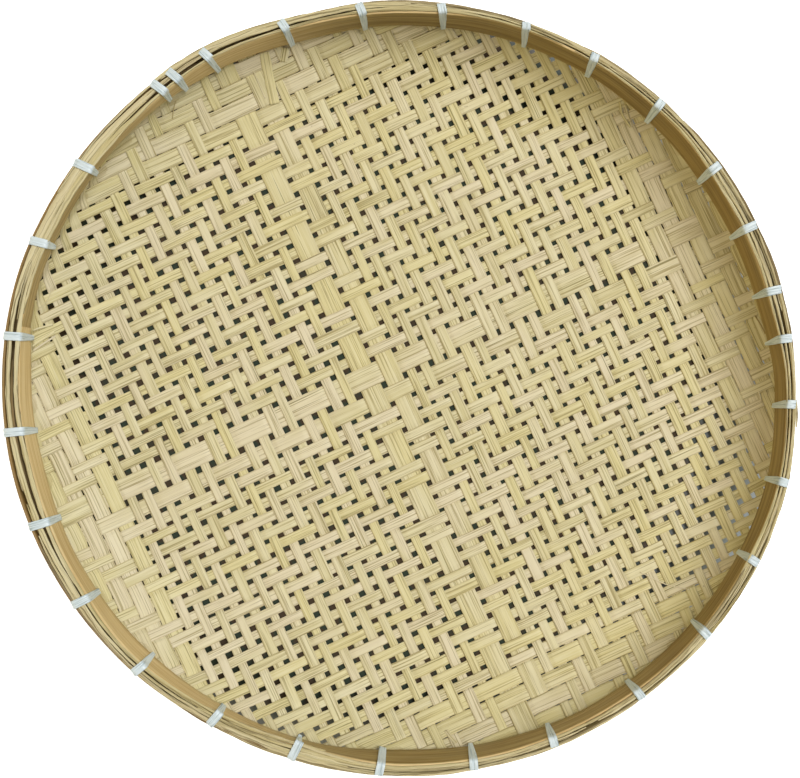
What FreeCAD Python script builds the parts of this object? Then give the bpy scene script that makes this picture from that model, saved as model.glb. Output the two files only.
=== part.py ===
"""Round woven bamboo winnowing tray: a shallow mat of flat strips held between two bamboo hoops.

Axes: +Z up, +X and +Y across the tray, origin under the middle of the outer hoop at the level of the
mat's underside. Every strip, hoop, splint and lashing is a solid of its own.
"""
import FreeCAD, Part
import math
import os
import random

# Driving dimensions, in mm and degrees.
OUTER_LONG = 450.0            # outside of the outer hoop, across its long axis
OUTER_SHORT = 437.0           # the same, across its short axis
INNER_LONG = 430.2            # inside of the inner hoop, across its long axis
INNER_SHORT = 421.2
RIM_TURN = -13.0              # the long axis, turned from +X
INNER_SHIFT = (1.9, 0.6)      # the inner hoop sits this far off the outer hoop's centre
INNER_HOOP_THICK = 2.2
OUTER_HOOP_THICK = 2.6
HOOP_HEIGHT = 20.0
SPLINT_THICK = 1.6            # the splints that cover the mat's cut edge
SPLINT_CLEARANCE = 0.05       # clear space between them and the hoops below
PACKING_HEIGHT = 12.0         # the two splints packed beside the mat where the rim is widest
PACKING_DEPTH = 4.0           # their tops lie this far below the hoops' tops
PACKING_START = 118.0         # where they begin and end, in degrees round the rim
PACKING_END = 286.0
PACKING_CLEARANCE = 0.1
LAP = 5.0                     # length of each hoop's slanted joint, in degrees round the rim
JOINT_GAP = 0.1               # gap in that joint, in degrees round the rim
INNER_LAP_PLACE = 167.0       # where the joints are, in degrees round the rim
OUTER_LAP_PLACE = 20.0
# The covering splints: near and far edge as shares of the rim's width, where they begin, and how
# far round they go. The outer one leaves out the left, where the outer hoop's top shows instead.
SPLINTS = {
    "splint_inner": (0.22, 0.47, 65.0, 360.0),
    "splint_middle": (0.51, 0.78, 300.0, 360.0),
    "splint_outer": (0.82, 0.97, 203.0, 284.0),
}

STRIP_THICK = 0.6
STRIP_WIDTH = 6.0             # a usual strip
WIDTH_SPREAD = 0.8            # how far a usual strip is wider or narrower than that
PLACE_SPREAD = 0.3            # how far it is out of its place
BORDER_WIDTH = 9.2            # the strips next to the rim are wider, and lie close together
BORDER_PITCH = 10.2
CROSSING_GAP = 0.1            # clear space between two strips that cross
SLIT = 1.0                    # least gap between two neighbouring strips

BELLY_RADIUS = 60.0           # the mat's curve from the flat floor up to the hoops
BELLY_TURN = 48.0             # how steep it gets before it bends in between the hoops
BEND_RADIUS = 5.0             # that bend
BEND_MARGIN = 6.0             # the curve is drawn finely from this far before the bend
BEND_STEP = 1.5               # to the strip's end, in steps no longer than this
EDGE_STEP = 0.6               # a strip stays level this far inside each edge of the one it crosses
LEAST_CROSSING = 1.8          # a crossing cut shorter than this by the strip's end is left out
MAT_ROOM = 1.5                # room for the mat beside the inner hoop
MAT_DEPTH = 0.4               # the mat's cut edge lies this far below the hoops' tops
END_TOLERANCE = 0.01          # how exactly a strip's end is found

WEAVE_TURN = 24.7             # the weft strips, turned from +X
WEAVE_CENTRE = (-9.8, 2.7)    # where the weave's middle lies, from the outer hoop's centre

# The four sides of the weave: width of the broad strip beside the middle, pitch of the usual
# strips, how many of them there are, and how many border strips follow.
WARP_RIGHT = {"side": 1, "broad": 11.0, "pitch": 8.85, "usual": 19, "border": 5}
WARP_LEFT = {"side": -1, "broad": 13.0, "pitch": 9.7, "usual": 16, "border": 4}
WEFT_ABOVE = {"side": 1, "broad": 13.0, "pitch": 9.15, "usual": 17, "border": 4}
WEFT_BELOW = {"side": -1, "broad": 9.5, "pitch": 8.75, "usual": 20, "border": 4}
BROAD_PLACE = 7.6             # a broad strip's middle, from the weave's middle
# A few strips end this far below the mat's top edge. They are counted out from the weave's middle, and
# those below it or to its left have a count less than 0.
WARP_CUT_SHORT = {3: 0.5, 4: 0.5, 7: 0.5, 15: 0.5}
WEFT_CUT_SHORT = {-6: 1.5, 6: 0.5, 10: 1.5}
STRIPS_PER_NODE = 2

TAPE_THICK = 0.5
TAPE_WIDTH = 5.0
TAPE_CLEARANCE = 0.1          # between the tape and the rim, and between the tape and the mat
LASHING_PLACES = [
    -2, 8, 15, 25, 36, 48, 60, 71, 84, 96, 107, 120, 126, 129, 145,
    158, 172, 187, 201, 214, 227, 241, 254, 267, 281, 293, 308, 321, 334, 346,
]                             # degrees round the rim from +X; some are tied close together
LASHINGS_PER_NODE = 6

STRIP_LEVEL = (STRIP_THICK + CROSSING_GAP) / 2
FLOOR_Z = STRIP_LEVEL + STRIP_THICK / 2
BELLY_ANGLE = math.radians(BELLY_TURN)
BELLY_RUN = BELLY_RADIUS * math.sin(BELLY_ANGLE)
BELLY_LENGTH = BELLY_RADIUS * BELLY_ANGLE
BEND_RUN = BEND_RADIUS * (1 - math.sin(BELLY_ANGLE))
BEND_LENGTH = BEND_RADIUS * (math.pi / 2 - BELLY_ANGLE)
BELLY_RISE = BELLY_RADIUS * (1 - math.cos(BELLY_ANGLE))
BEND_RISE = BEND_RADIUS * math.cos(BELLY_ANGLE)
HOOP_BOTTOM = FLOOR_Z + BELLY_RISE + BEND_RISE
HOOP_TOP = HOOP_BOTTOM + HOOP_HEIGHT
SPLINT_BOTTOM = HOOP_TOP + SPLINT_CLEARANCE
SPLINT_TOP = SPLINT_BOTTOM + SPLINT_THICK
MAT_TOP = HOOP_TOP - MAT_DEPTH
MAT_REACH = BELLY_LENGTH + BEND_LENGTH + MAT_TOP - HOOP_BOTTOM


class Strip:
    """One flat bamboo strip: its middle, its width and its place counted out from the weave's middle."""

    def __init__(self, middle, width, count, side):
        self.middle = middle
        self.width = width
        self.count = count
        self.side = side
        self.low = middle - width / 2
        self.high = middle + width / 2
        self.cut_short = 0.0


def one_side(sizes, chance):
    """The strips on one side of the weave's middle, from the broad strip out to the border."""
    strips = [Strip(sizes["side"] * BROAD_PLACE, sizes["broad"], 1, sizes["side"])]
    place = BROAD_PLACE + (sizes["broad"] + STRIP_WIDTH) / 2 + sizes["pitch"] - STRIP_WIDTH
    for count in range(2, sizes["usual"] + 2):
        width = STRIP_WIDTH + chance.uniform(-WIDTH_SPREAD, WIDTH_SPREAD)
        middle = place + chance.uniform(-PLACE_SPREAD, PLACE_SPREAD)
        strips.append(Strip(sizes["side"] * middle, width, count, sizes["side"]))
        place += sizes["pitch"]
    place += (BORDER_WIDTH - STRIP_WIDTH) / 2 + SLIT - (sizes["pitch"] - STRIP_WIDTH) + WIDTH_SPREAD / 2
    for count in range(sizes["usual"] + 2, sizes["usual"] + sizes["border"] + 2):
        strips.append(Strip(sizes["side"] * place, BORDER_WIDTH, count, sizes["side"]))
        place += BORDER_PITCH
    return strips


def both_sides(low_side, high_side, cut_short, seed):
    """All the strips of one direction, in order across the tray."""
    chance = random.Random(seed)
    strips = one_side(low_side, chance) + one_side(high_side, chance)
    for strip in strips:
        strip.cut_short = cut_short.get(strip.side * strip.count, 0.0)
    return sorted(strips, key=lambda strip: strip.middle)


def weft_is_over(warp, weft):
    """Two over, two under, with the step turned round at the middle, which draws nested diamonds."""
    over = (warp.count + weft.count) % 4 in (1, 2)
    if warp.side < 0:
        over = not over
    if weft.side > 0:
        over = not over
    return over


def rim_oval(share, grow=0.0):
    """An oval between the rim's inner face (share 0) and its outer face (share 1), grown outwards."""
    centre = FreeCAD.Vector((1 - share) * INNER_SHIFT[0], (1 - share) * INNER_SHIFT[1], 0)
    long_half = ((1 - share) * INNER_LONG + share * OUTER_LONG) / 2 + grow
    short_half = ((1 - share) * INNER_SHORT + share * OUTER_SHORT) / 2 + grow
    return centre, long_half, short_half


def grown(oval, grow):
    """An oval made larger or smaller all round."""
    centre, long_half, short_half = oval
    return centre, long_half + grow, short_half + grow


def between_ovals(one, two):
    """The oval halfway between two others."""
    return (one[0] + two[0]) / 2, (one[1] + two[1]) / 2, (one[2] + two[2]) / 2


def oval_point(oval, angle):
    """The point of an oval at an angle from +X."""
    centre, long_half, short_half = oval
    turn = math.radians(RIM_TURN)
    inside = math.radians(angle) - turn
    along = FreeCAD.Vector(math.cos(turn), math.sin(turn), 0) * (long_half * math.cos(inside))
    across = FreeCAD.Vector(-math.sin(turn), math.cos(turn), 0) * (short_half * math.sin(inside))
    return centre + along + across


def oval_arc(oval, start, end):
    """The edge of an oval from one angle to another."""
    centre = oval[0]
    curve = Part.Ellipse(oval_point(oval, RIM_TURN), oval_point(oval, RIM_TURN + 90), centre)
    return Part.ArcOfEllipse(curve, math.radians(start - RIM_TURN), math.radians(end - RIM_TURN)).toShape()


def band(inner_oval, outer_oval, start, end, slant, bottom, height):
    """An upright band bent round the rim, with slanted ends."""
    inner_edge = oval_arc(inner_oval, start, end)
    outer_edge = oval_arc(outer_oval, start + slant, end + slant)
    first = Part.makeLine(oval_point(inner_oval, start), oval_point(outer_oval, start + slant))
    last = Part.makeLine(oval_point(inner_oval, end), oval_point(outer_oval, end + slant))
    outline = Part.Wire(Part.__sortEdges__([inner_edge, last, outer_edge, first]))
    face = Part.Face(outline)
    face.translate(FreeCAD.Vector(0, 0, bottom))
    return face.extrude(FreeCAD.Vector(0, 0, height))


def wall_distance(direction):
    """From the inner hoop's centre to the middle of the mat in the wall."""
    long_half, short_half = rim_oval(0, INNER_HOOP_THICK + MAT_ROOM / 2)[1:]
    inside = direction - math.radians(RIM_TURN)
    return 1 / math.hypot(math.cos(inside) / long_half, math.sin(inside) / short_half)


def flat_distance(across, along):
    """Distance and direction of a point of the flat mat from the inner hoop's centre."""
    turn = math.radians(WEAVE_TURN)
    x = WEAVE_CENTRE[0] - INNER_SHIFT[0] + across * math.cos(turn) - along * math.sin(turn)
    y = WEAVE_CENTRE[1] - INNER_SHIFT[1] + across * math.sin(turn) + along * math.cos(turn)
    return math.hypot(x, y), math.atan2(y, x)


def past_floor(across, along):
    """How far a point of the flat mat lies past the edge of the flat floor, along the mat."""
    distance, direction = flat_distance(across, along)
    return distance - (wall_distance(direction) - BELLY_RUN - BEND_RUN)


def mat_point(across, along, level):
    """The place in the tray of a point of the flat mat, at a level above the mat's middle."""
    distance, direction = flat_distance(across, along)
    past = past_floor(across, along)
    floor_edge = distance - past
    if past <= 0:
        out, up, slope = distance, 0.0, 0.0
    elif past <= BELLY_LENGTH:
        slope = past / BELLY_RADIUS
        out = floor_edge + BELLY_RADIUS * math.sin(slope)
        up = BELLY_RADIUS * (1 - math.cos(slope))
    elif past <= BELLY_LENGTH + BEND_LENGTH:
        slope = BELLY_ANGLE + (past - BELLY_LENGTH) / BEND_RADIUS
        out = floor_edge + BELLY_RUN + BEND_RADIUS * (math.sin(slope) - math.sin(BELLY_ANGLE))
        up = BELLY_RISE + BEND_RADIUS * (math.cos(BELLY_ANGLE) - math.cos(slope))
    else:
        slope = math.pi / 2
        out = floor_edge + BELLY_RUN + BEND_RUN
        up = BELLY_RISE + BEND_RISE + past - BELLY_LENGTH - BEND_LENGTH
    out -= level * math.sin(slope)
    up += level * math.cos(slope) + FLOOR_Z
    x = INNER_SHIFT[0] + out * math.cos(direction)
    y = INNER_SHIFT[1] + out * math.sin(direction)
    return FreeCAD.Vector(x, y, up)


def in_weave(is_warp, side, place):
    """The weave's across and along of a point at one side of a strip, at a place along it."""
    return (side, place) if is_warp else (place, side)


def farther_past_floor(strip, is_warp, place):
    """How far the strip's farther edge lies past the edge of the flat floor, at a place along it."""
    return max(past_floor(*in_weave(is_warp, side, place)) for side in (strip.low, strip.high))


def strip_end(strip, is_warp, way):
    """How far along its length a strip runs before it comes to the mat's top edge, or a little less."""
    inside, outside = 0.0, way * (INNER_LONG + 2 * MAT_REACH)
    while abs(outside - inside) > END_TOLERANCE:
        trial = (inside + outside) / 2
        if farther_past_floor(strip, is_warp, trial) < MAT_REACH - strip.cut_short:
            inside = trial
        else:
            outside = trial
    return inside


def strip_stations(strip, is_warp, crossings):
    """Places along a strip, each with its level: level where it crosses, sloping in the gaps."""
    start = strip_end(strip, is_warp, -1)
    end = strip_end(strip, is_warp, 1)
    stations = []
    for other in crossings:
        low, high = max(other.low, start), min(other.high, end)
        if high - low < LEAST_CROSSING:
            continue
        weft_over = weft_is_over(strip, other) if is_warp else weft_is_over(other, strip)
        level = STRIP_LEVEL if weft_over != is_warp else -STRIP_LEVEL
        for place in (low, low + EDGE_STEP, (low + high) / 2, high - EDGE_STEP, high):
            stations.append((place, level))
    stations[0] = (start, stations[0][1])
    stations[-1] = (end, stations[-1][1])
    return with_bend_stations(strip, is_warp, stations)


def with_bend_stations(strip, is_warp, stations):
    """Put further places in between where the mat bends sharply, so that the curve follows the bend."""
    filled = stations[:1]
    for (place, level), (next_place, next_level) in zip(stations, stations[1:]):
        middle = (place + next_place) / 2
        past = past_floor(*in_weave(is_warp, strip.middle, middle))
        near_bend = past > BELLY_LENGTH - BEND_MARGIN
        parts = math.ceil((next_place - place) / BEND_STEP) if near_bend else 1
        for part in range(1, parts + 1):
            share = part / parts
            filled.append((place + (next_place - place) * share, level + (next_level - level) * share))
    return filled


def station_corners(strip, is_warp, station):
    """The four corners of a strip's cross-section, going round."""
    place, level = station
    corners = []
    for side, half in ((strip.low, 1), (strip.high, 1), (strip.high, -1), (strip.low, -1)):
        across, along = in_weave(is_warp, side, place)
        corners.append(mat_point(across, along, level + half * STRIP_THICK / 2))
    return corners


def curved_faces(rows, places):
    """The four long faces of a curved stretch."""
    edges = []
    for corner in range(4):
        curve = Part.BSplineCurve()
        curve.interpolate(Points=[row[corner] for row in rows], Parameters=places)
        edges.append(curve.toShape())
    return [Part.makeRuledSurface(edges[corner], edges[(corner + 1) % 4], 1) for corner in range(4)]


def flat_faces(rows):
    """The faces of a stretch that lies on the flat floor: plane above, below and at the sides."""
    faces = []
    for one, two in zip(rows, rows[1:]):
        faces.append(Part.Face(Part.makePolygon([one[0], one[1], two[1], two[0], one[0]])))
        faces.append(Part.Face(Part.makePolygon([one[3], one[2], two[2], two[3], one[3]])))
    for top, bottom in ((0, 3), (1, 2)):
        outline = [row[top] for row in rows] + [row[bottom] for row in reversed(rows)]
        faces.append(Part.Face(Part.makePolygon(outline + outline[:1])))
    return faces


def drop_needless(stations, first, last):
    """Leave out the places on the flat floor where the level stays the same on both sides."""
    kept = stations[:first + 1]
    for index in range(first + 1, last):
        if not stations[index - 1][1] == stations[index][1] == stations[index + 1][1]:
            kept.append(stations[index])
    return kept, len(kept), kept + stations[last:]


def make_strip(strip, is_warp, crossings):
    """One strip as a closed solid: curved ends, and plane faces where it lies on the floor."""
    stations = strip_stations(strip, is_warp, crossings)
    floor = [index for index, (place, level) in enumerate(stations)
             if farther_past_floor(strip, is_warp, place) <= 0]
    if len(floor) > 2:
        first = floor[0]
        kept, last, stations = drop_needless(stations, first, floor[-1])
    else:
        first = last = len(stations) - 1
    rows = [station_corners(strip, is_warp, station) for station in stations]
    places = [station[0] for station in stations]
    faces = curved_faces(rows[:first + 1], places[:first + 1])
    if last > first:
        faces += flat_faces(rows[first:last + 1])
        faces += curved_faces(rows[last:], places[last:])
    for row in (rows[0], rows[-1]):
        faces.append(Part.makeRuledSurface(Part.makeLine(row[0], row[1]), Part.makeLine(row[3], row[2]), 1))
    shell = Part.Shell(faces)
    shell.sewShape()
    solid = Part.Solid(Part.Shell(shell.Faces))
    if solid.Volume < 0:
        solid.reverse()
    return solid


def make_lashing(angle):
    """One tie of tape round the rim, as a clip open at the bottom where the mat passes through."""
    inside = oval_point(rim_oval(0), angle)
    outside = oval_point(rim_oval(1), angle)
    width = (outside - inside).Length
    outward = (outside - inside).normalize()
    sideways = FreeCAD.Vector(-outward.y, outward.x, 0)
    near, far = -TAPE_CLEARANCE, width + TAPE_CLEARANCE
    low, high = HOOP_BOTTOM - TAPE_CLEARANCE, SPLINT_TOP + TAPE_CLEARANCE
    mat_near = INNER_HOOP_THICK - TAPE_CLEARANCE
    mat_far = INNER_HOOP_THICK + MAT_ROOM + TAPE_CLEARANCE
    outline = [
        (mat_near, low), (near, low), (near, high), (far, high), (far, low), (mat_far, low),
        (mat_far, low - TAPE_THICK), (far + TAPE_THICK, low - TAPE_THICK),
        (far + TAPE_THICK, high + TAPE_THICK), (near - TAPE_THICK, high + TAPE_THICK),
        (near - TAPE_THICK, low - TAPE_THICK), (mat_near, low - TAPE_THICK),
    ]
    corner = inside - sideways * (TAPE_WIDTH / 2)
    points = [corner + outward * out + FreeCAD.Vector(0, 0, up) for out, up in outline]
    face = Part.Face(Part.makePolygon(points + points[:1]))
    return face.extrude(sideways * TAPE_WIDTH)


def write(name, solids):
    """Write one node, as one solid or as a group of separate solids."""
    for solid in solids:
        if not solid.isValid():
            print("not valid:", name)
    shape = solids[0] if len(solids) == 1 else Part.makeCompound(solids)
    shape.exportStep("parts/" + name + ".step")
    print(name, len(solids), "solids,", round(shape.Volume, 1), "mm3")


def write_strips(name, strips, is_warp, crossings):
    """Write the strips of one direction, a few neighbours to a node."""
    for first in range(0, len(strips), STRIPS_PER_NODE):
        group = strips[first:first + STRIPS_PER_NODE]
        number = first // STRIPS_PER_NODE + 1
        write("%s_%02d" % (name, number), [make_strip(strip, is_warp, crossings) for strip in group])


def main():
    os.makedirs("parts", exist_ok=True)
    warps = both_sides(WARP_LEFT, WARP_RIGHT, WARP_CUT_SHORT, seed=1)
    wefts = both_sides(WEFT_BELOW, WEFT_ABOVE, WEFT_CUT_SHORT, seed=2)
    write_strips("warp", warps, True, wefts)
    write_strips("weft", wefts, False, warps)

    turn_round = 360 - JOINT_GAP
    inner_hoop = band(rim_oval(0), rim_oval(0, INNER_HOOP_THICK), INNER_LAP_PLACE,
                      INNER_LAP_PLACE + turn_round, LAP, HOOP_BOTTOM, HOOP_HEIGHT)
    outer_hoop = band(rim_oval(1, -OUTER_HOOP_THICK), rim_oval(1), OUTER_LAP_PLACE,
                      OUTER_LAP_PLACE + turn_round, LAP, HOOP_BOTTOM, HOOP_HEIGHT)
    write("inner_hoop", [inner_hoop])
    write("outer_hoop", [outer_hoop])

    mat_side = rim_oval(0, INNER_HOOP_THICK + MAT_ROOM + PACKING_CLEARANCE)
    hoop_side = rim_oval(1, -OUTER_HOOP_THICK - PACKING_CLEARANCE)
    between = between_ovals(mat_side, hoop_side)
    packing_bottom = HOOP_TOP - PACKING_DEPTH - PACKING_HEIGHT
    for name, near, far in (("packing_inner", mat_side, grown(between, -PACKING_CLEARANCE / 2)),
                            ("packing_outer", grown(between, PACKING_CLEARANCE / 2), hoop_side)):
        write(name, [band(near, far, PACKING_START, PACKING_END, 0, packing_bottom, PACKING_HEIGHT)])

    for name, (near, far, start, turn) in SPLINTS.items():
        write(name, [band(rim_oval(near), rim_oval(far), start, start + turn - JOINT_GAP, LAP,
                          SPLINT_BOTTOM, SPLINT_THICK)])

    for first in range(0, len(LASHING_PLACES), LASHINGS_PER_NODE):
        group = LASHING_PLACES[first:first + LASHINGS_PER_NODE]
        write("lashing_%d" % (first // LASHINGS_PER_NODE + 1), [make_lashing(angle) for angle in group])


main()
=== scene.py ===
"""Looks of the round woven bamboo winnowing tray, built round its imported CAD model.

Lengths are in millimetres and angles in degrees until a mesh is made. The axes are the CAD model's.
"""

import math
import random

import bpy
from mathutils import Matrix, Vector, noise


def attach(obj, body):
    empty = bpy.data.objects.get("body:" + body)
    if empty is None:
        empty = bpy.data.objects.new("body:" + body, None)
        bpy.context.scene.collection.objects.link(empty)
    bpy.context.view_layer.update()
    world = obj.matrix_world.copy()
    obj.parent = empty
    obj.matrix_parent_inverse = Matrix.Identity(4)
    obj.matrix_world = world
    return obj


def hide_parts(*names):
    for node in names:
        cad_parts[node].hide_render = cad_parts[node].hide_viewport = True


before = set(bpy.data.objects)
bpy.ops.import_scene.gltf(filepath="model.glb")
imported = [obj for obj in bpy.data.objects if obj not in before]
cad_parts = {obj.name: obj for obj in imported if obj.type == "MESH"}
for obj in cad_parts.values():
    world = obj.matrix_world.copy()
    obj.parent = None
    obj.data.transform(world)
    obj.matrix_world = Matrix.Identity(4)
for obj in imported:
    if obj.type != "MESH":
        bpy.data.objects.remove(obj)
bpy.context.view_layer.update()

MM = 0.001

# The tray's driving dimensions.
OUTER_LONG = 450.0
OUTER_SHORT = 437.0
INNER_LONG = 430.2
INNER_SHORT = 421.2
RIM_TURN = -13.0
INNER_SHIFT = (1.9, 0.6)  # the inner oval's middle, from the outer oval's
INNER_HOOP_THICK = 1.5
OUTER_HOOP_THICK = 1.7
HOOP_HEIGHT = 20.0
SPLINT_THICK = 1.6
SPLINT_CLEARANCE = 0.05
STRIP_THICK = 0.6
STRIP_WIDTH = 6.0
WIDTH_SPREAD = 0.8  # how far a strip's width may be from the usual one
PLACE_SPREAD = 0.3  # how far its middle may be from its even place
BORDER_WIDTH = 9.2
BORDER_PITCH = 10.2
CROSSING_GAP = 0.1
SLIT = 1.0  # between border strips
BELLY_RADIUS = 60.0
BELLY_TURN = 48.0
BEND_RADIUS = 5.0
LEAST_CROSSING = 1.8  # a narrower overlap of two strips is no crossing
MAT_DEPTH = 4.0  # the mat's cut edge lies this far below the hoops' top edges
END_TOLERANCE = 0.01  # how closely a strip's end is worked out
WEAVE_TURN = 24.7
WEAVE_CENTRE = (-9.8, 2.7)  # from the rim's middle
# Each side of the weave: the broad strip's width, the usual strips' pitch and number, and how many border
# strips there are.
WARP_RIGHT = {"side": 1, "broad": 11.0, "pitch": 8.85, "usual": 19, "border": 5}
WARP_LEFT = {"side": -1, "broad": 13.0, "pitch": 9.7, "usual": 16, "border": 4}
WEFT_ABOVE = {"side": 1, "broad": 13.0, "pitch": 9.15, "usual": 17, "border": 4}
WEFT_BELOW = {"side": -1, "broad": 9.5, "pitch": 8.75, "usual": 20, "border": 4}
BROAD_PLACE = 7.6  # from the weave's middle to the broad strip on each side
STRIPS_PER_NODE = 2
LASHINGS_PER_NODE = 6

MAT_PLACE = 2.2  # from the inner hoop's inner face to the middle of the mat behind it
STRIP_LEVEL = (STRIP_THICK + CROSSING_GAP) / 2
FLOOR_Z = STRIP_LEVEL + STRIP_THICK / 2
BELLY_ANGLE = math.radians(BELLY_TURN)
BELLY_RUN = BELLY_RADIUS * math.sin(BELLY_ANGLE)
BELLY_LENGTH = BELLY_RADIUS * BELLY_ANGLE
BEND_RUN = BEND_RADIUS * (1 - math.sin(BELLY_ANGLE))
BEND_LENGTH = BEND_RADIUS * (math.pi / 2 - BELLY_ANGLE)
BELLY_RISE = BELLY_RADIUS * (1 - math.cos(BELLY_ANGLE))
BEND_RISE = BEND_RADIUS * math.cos(BELLY_ANGLE)
HOOP_BOTTOM = FLOOR_Z + BELLY_RISE + BEND_RISE
HOOP_TOP = HOOP_BOTTOM + HOOP_HEIGHT
SPLINT_BOTTOM = HOOP_TOP + SPLINT_CLEARANCE
SPLINT_TOP = SPLINT_BOTTOM + SPLINT_THICK
MAT_TOP = HOOP_TOP - MAT_DEPTH
MAT_REACH = BELLY_LENGTH + BEND_LENGTH + MAT_TOP - HOOP_BOTTOM


def every_15_degrees(places):
    """Values every 15 degrees round from +X, 0 where none is given."""
    return [places.get(angle, 0.0) for angle in range(0, 360, 15)]


# How far the inner hoop stands outside its even oval, every 15 degrees round from +X: at its top edge and
# at its bottom edge. The hoop was bent by hand, and the lashings pull it out of true.
TOP_SHIFT = [2.2, -1.4, -1.4, 1.0, 1.9, 2.7, 0.7, -0.2, 1.9, -0.4, 0.3, 2.7,
             1.6, -0.4, 0.2, 2.9, 1.0, -0.1, 2.4, 2.6, 2.5, 3.3, 3.1, 4.0]
BOTTOM_SHIFT = [1.8, -2.6, -2.8, -1.2, 0.1, 0.4, -0.4, -2.2, 0.2, 0.9, 0.2, 1.5,
                0.6, -0.7, 0.3, 1.2, 1.6, 2.3, 0.0, 1.2, 2.4, 2.7, 3.1, 3.7]
# How far the rim's outer face stands outside its even oval, every 15 degrees.
OUTER_SHIFT = [-0.6, -0.3, -0.2, 0.3, 0.2, 0.2, 0.0, -2.1, 0.0, -0.7, -0.7, 0.3,
               0.0, 0.3, 0.1, 0.2, -0.5, 0.0, 0.4, 0.3, 0.5, 0.7, 1.1, 1.3]
# How far the inner hoop's bottom edge is cut back.
HOOP_LIFT = every_15_degrees({120: 1.0, 135: 8.5, 150: 10.0, 165: 8.0, 180: 0.5, 240: 0.5, 255: 1.0})

# Where the lashings are round the rim, how far each one's inner end is pulled along the rim, and how
# wide it still is there, as a share of its width.
LASHINGS = [
    (-2.1, -1.8, 0.5), (7.8, -2.4, 0.3), (15.2, -1.9, 0.35), (25.4, -1.8, 0.5), (35.7, -1.8, 0.6),
    (48.2, -1.2, 0.55), (60.0, -1.4, 0.55), (71.0, -1.8, 0.45), (83.6, -0.8, 0.5), (95.6, 0.2, 0.5),
    (107.4, 0.3, 0.6), (119.6, -0.3, 0.5), (125.3, 0.2, 0.5), (128.2, 0.3, 0.5), (144.6, 0.1, 0.55),
    (157.9, -0.2, 0.45), (172.6, -0.4, 0.55), (187.0, 0.4, 0.6), (201.4, -0.2, 0.65), (214.5, 0.2, 0.65),
    (227.7, -0.6, 0.45), (241.0, 0.4, 0.6), (253.8, 0.1, 0.5), (266.7, 0.0, 0.85), (280.5, -0.4, 0.5),
    (292.7, 0.3, 0.5), (307.3, -1.4, 0.55), (320.6, 0.6, 0.45), (333.6, 0.4, 0.5), (346.2, -0.8, 0.5),
]

# Each covering splint's near and far edge, as shares of the rim's width, every 30 degrees round from +X.
SPLINT_EDGES = {
    "covering_splint_inner": [
        (0.03, 0.12), (0.05, 0.29), (0.03, 0.24), (0.17, 0.47), (0.02, 0.17), (0.03, 0.33),
        (0.06, 0.3), (0.08, 0.25), (0.14, 0.33), (0.15, 0.38), (0.16, 0.38), (0.08, 0.34),
    ],
    "covering_splint_middle": [
        (0.28, 0.47), (0.3, 0.56), (0.36, 0.5), (0.5, 0.77), (0.4, 0.64), (0.37, 0.8),
        (0.52, 0.75), (0.36, 0.63), (0.36, 0.55), (0.41, 0.63), (0.42, 0.62), (0.38, 0.68),
    ],
    "covering_splint_outer": [
        (0.66, 1.0), (0.74, 0.97), (0.56, 1.02), (0.8, 1.0), (0.66, 1.02), (0.8, 0.9),
        (0.8, 0.9), (0.66, 0.78), (0.62, 0.95), (0.68, 1.02), (0.74, 1.0), (0.72, 1.02),
    ],
}
# Loose straws on the rim: where each starts and ends round it, its two places across the rim (as shares
# of the rim's width), its width, how high it lies and how brown it is.
STRAWS = [
    (6, 44, 0.93, 0.95, 1.2, 0.5, 0.8), (12, 60, 0.66, 0.7, 0.9, 0.0, 0.3),
    (22, 37, 0.14, 0.1, 1.6, 0.3, 0.0), (44, 62, 0.9, 0.98, 1.3, 0.3, 0.5),
    (70, 97, 0.94, 0.93, 1.3, 0.4, 0.6), (84, 104, 0.96, 0.92, 1.5, 0.2, 1.0),
    (88, 118, 0.8, 0.72, 1.5, 0.6, 0.0), (104, 128, 0.9, 0.96, 2.0, 0.5, 0.15),
    (109, 126, 0.7, 0.78, 1.5, 0.8, 0.0), (112, 133, 0.58, 0.52, 1.4, 0.1, 0.5),
    (116, 150, 0.86, 0.8, 1.2, 0.6, 0.1), (131, 170, 0.34, 0.36, 1.0, 0.2, 0.2),
    (136, 169, 0.02, 0.0, 1.4, 0.3, 0.1), (176, 203, 0.42, 0.46, 1.3, -0.4, 0.9),
    (179, 214, 0.14, 0.18, 1.6, 0.4, 0.0), (189, 196, 0.7, 0.74, 1.0, -0.6, 0.1),
    (198, 203, 0.72, 0.68, 0.9, -0.4, 0.2), (204, 226, 0.86, 0.8, 1.2, 0.2, 0.7),
    (213, 236, 0.6, 0.7, 1.2, 0.5, 0.1), (222, 243, 0.12, 0.0, 1.3, 0.4, 0.0),
    (236, 252, 0.86, 0.8, 1.6, 0.4, 1.0), (238, 252, 0.3, 0.12, 1.5, 0.7, 0.0),
    (239, 258, -0.04, -0.1, 1.6, 0.3, 0.1), (241, 262, 0.52, 0.6, 1.5, 0.7, 0.1),
    (243, 256, 0.1, -0.12, 1.3, 0.5, 0.3), (244, 268, -0.16, 0.2, 1.4, 0.4, 0.0),
    (258, 300, 0.84, 0.9, 1.3, 0.5, 0.1), (262, 296, 0.3, 0.26, 1.5, 0.3, 0.1),
    (296, 334, 0.28, 0.18, 1.5, 0.3, 0.4), (318, 352, 0.86, 0.84, 1.3, 0.4, 0.0),
    (331, 345, 0.02, 0.06, 0.9, 0.5, 0.0), (338, 362, 0.5, 0.44, 1.0, -0.2, 0.5),
    (354.6, 358.6, 1.12, 1.05, 1.7, 0.6, 0.0), (355, 366, 0.9, 0.8, 1.4, 0.8, 0.1),
]
# How far the loose straws stand out over the inner hoop. The lashings pass over them.
OVERHANG = every_15_degrees({135: 0.9, 150: 0.9, 165: 0.5, 225: 0.5, 240: 1.5, 255: 2.2})
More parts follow.
